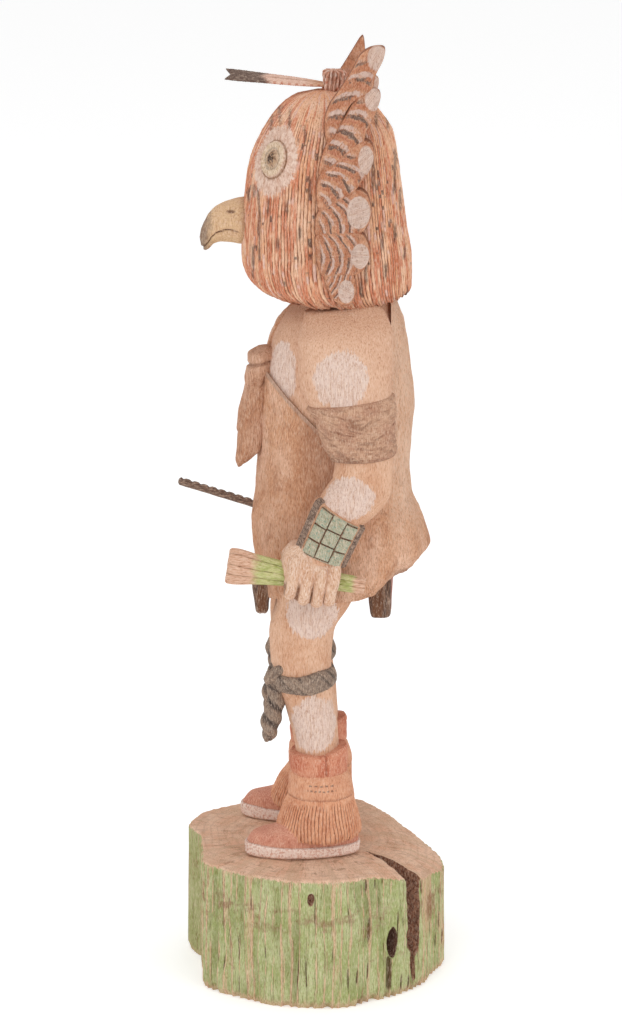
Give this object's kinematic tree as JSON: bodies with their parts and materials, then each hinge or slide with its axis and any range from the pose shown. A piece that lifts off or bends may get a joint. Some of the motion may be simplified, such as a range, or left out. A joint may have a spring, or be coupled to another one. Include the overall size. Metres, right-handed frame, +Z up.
{
  "type": "kachina doll",
  "caption": "Carved wooden owl dancer doll in a hide robe, with beak mask and feather fans, standing on a grooved slice of root wood.",
  "frame": {"origin": "on the underside of the base, below the middle of the doll's stance", "axes": "+Z up; the doll faces -Y; its own left side, with the bare arm, is +X"},
  "size_m": [0.0876, 0.0939, 0.3263],
  "materials": {
    "root_wood": "gouged root wood, chalky green wash on the sides, bare tan end grain on top",
    "painted_wood": "matt tan earth wash over carved cottonwood root, with white, red, green and grey paint",
    "tie_wood": "matt pinkish white paint on grooved wood",
    "feather_paint": "dark grey tip, white and tan vane, matt",
    "green_paint": "chalky green paint with bare ends",
    "dark_wood": "dark brown-grey stained stick, matt"
  },
  "bodies": {
    "root": {"base": "root_wood", "figure": "painted_wood", "crown_tie": "tie_wood", "forehead_feather": "feather_paint", "yucca_bundle": "green_paint", "hand_stick": "dark_wood"}
  },
  "joints": []
}
